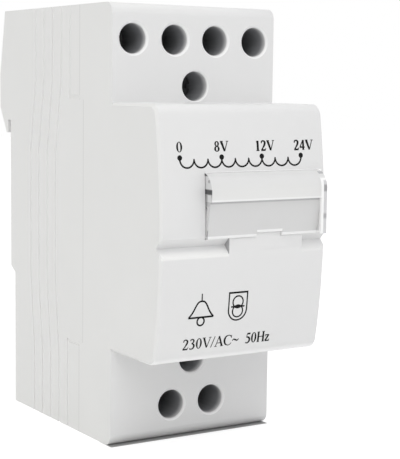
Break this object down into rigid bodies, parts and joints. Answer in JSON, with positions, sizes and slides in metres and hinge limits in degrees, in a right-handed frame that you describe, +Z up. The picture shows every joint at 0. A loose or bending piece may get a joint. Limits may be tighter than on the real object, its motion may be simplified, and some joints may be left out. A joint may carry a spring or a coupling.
{
  "type": "doorbell transformer",
  "caption": "Rail-mounted doorbell transformer in a light grey moulded housing, with screw terminals, a bowed raised front, a hinged clear label window and a sliding rail clip.",
  "frame": {"origin": "centre of the rail on the seat face at the back", "axes": "+X to the right seen from the front, +Y back into the panel, +Z up"},
  "size_m": [0.035, 0.0673, 0.0804],
  "materials": {
    "housing": "fine moulded satin",
    "clear": "clear moulded plastic",
    "clip": "fine moulded satin",
    "screw": "zinc plated",
    "clamp": "zinc plated",
    "strip": "bare brass",
    "core": "varnished silicon steel sheets",
    "bobbin": "moulded",
    "copper": "enamelled copper wire",
    "tape": "insulating film",
    "lead": "tinned copper",
    "fuse": "ceramic body"
  },
  "bodies": {
    "housing": {"rear_base": "housing", "front_cover": "housing", "cover_screws": "screw", "terminal_screws": "screw", "core_e_stack": "core", "core_i_stack": "core", "bobbin": "bobbin", "primary_winding": "copper", "primary_tape": "tape", "secondary_winding": "copper", "secondary_tape": "tape", "thermal_fuse": "fuse", "fuse_lead": "lead", "mains_lead_1": "lead", "mains_lead_2": "lead", "output_clamp_1": "clamp", "output_strip_1": "strip", "output_lead_1": "lead", "output_clamp_2": "clamp", "output_strip_2": "strip", "output_lead_2": "lead", "output_clamp_3": "clamp", "output_strip_3": "strip", "output_lead_3": "lead", "output_clamp_4": "clamp", "output_strip_4": "strip", "output_lead_4": "lead", "mains_clamp_1": "clamp", "mains_strip_1": "strip", "mains_clamp_2": "clamp", "mains_strip_2": "strip"},
    "label_window": {"label_window": "clear"},
    "rail_clip": {"rail_clip": "clip"}
  },
  "joints": [
    {"name": "label_window_hinge", "type": "hinge", "parent": "housing", "child": "label_window", "pos_m": [0, -0.0591, 0.00765], "axis": [-1, 0, 0], "range_deg": [0, 90]},
    {"name": "rail_clip_slide", "type": "slide", "parent": "housing", "child": "rail_clip", "axis": [0, 0, -1], "range_m": [0, 0.0032]}
  ]
}
